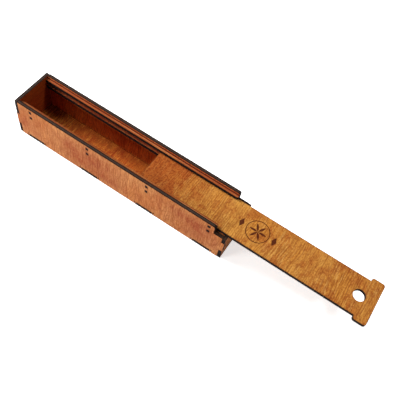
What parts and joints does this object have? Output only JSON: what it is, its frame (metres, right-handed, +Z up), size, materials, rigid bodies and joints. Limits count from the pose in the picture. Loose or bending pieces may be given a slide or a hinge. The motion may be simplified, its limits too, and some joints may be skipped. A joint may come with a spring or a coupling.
{
  "type": "sliding lid tool box",
  "caption": "Long narrow plywood tool box with interlocking boards, tenoned rails, a stepped open end and a T-shaped lid that slides in grooves.",
  "frame": {"origin": "middle of the box's underside, where it rests on a table", "axes": "+X along the box towards the open end, where the lid draws out; -Y towards the front wall; +Z up"},
  "size_m": [0.44, 0.0542, 0.0532],
  "materials": {
    "wall_ply": "satin stain",
    "inner_ply": "satin stain",
    "lid_ply": "satin stain"
  },
  "bodies": {
    "box": {"bottom_panel": "inner_ply", "front_wall": "wall_ply", "back_wall": "wall_ply", "closed_end": "wall_ply", "open_end": "wall_ply", "front_lower_rail": "inner_ply", "back_lower_rail": "inner_ply", "front_upper_rail": "inner_ply", "back_upper_rail": "inner_ply"},
    "lid": {"sliding_lid": "lid_ply"}
  },
  "joints": [
    {"name": "lid_slide", "type": "slide", "parent": "box", "child": "lid", "axis": [1, 0, 0], "range_m": [-0.16, 0.125]}
  ]
}
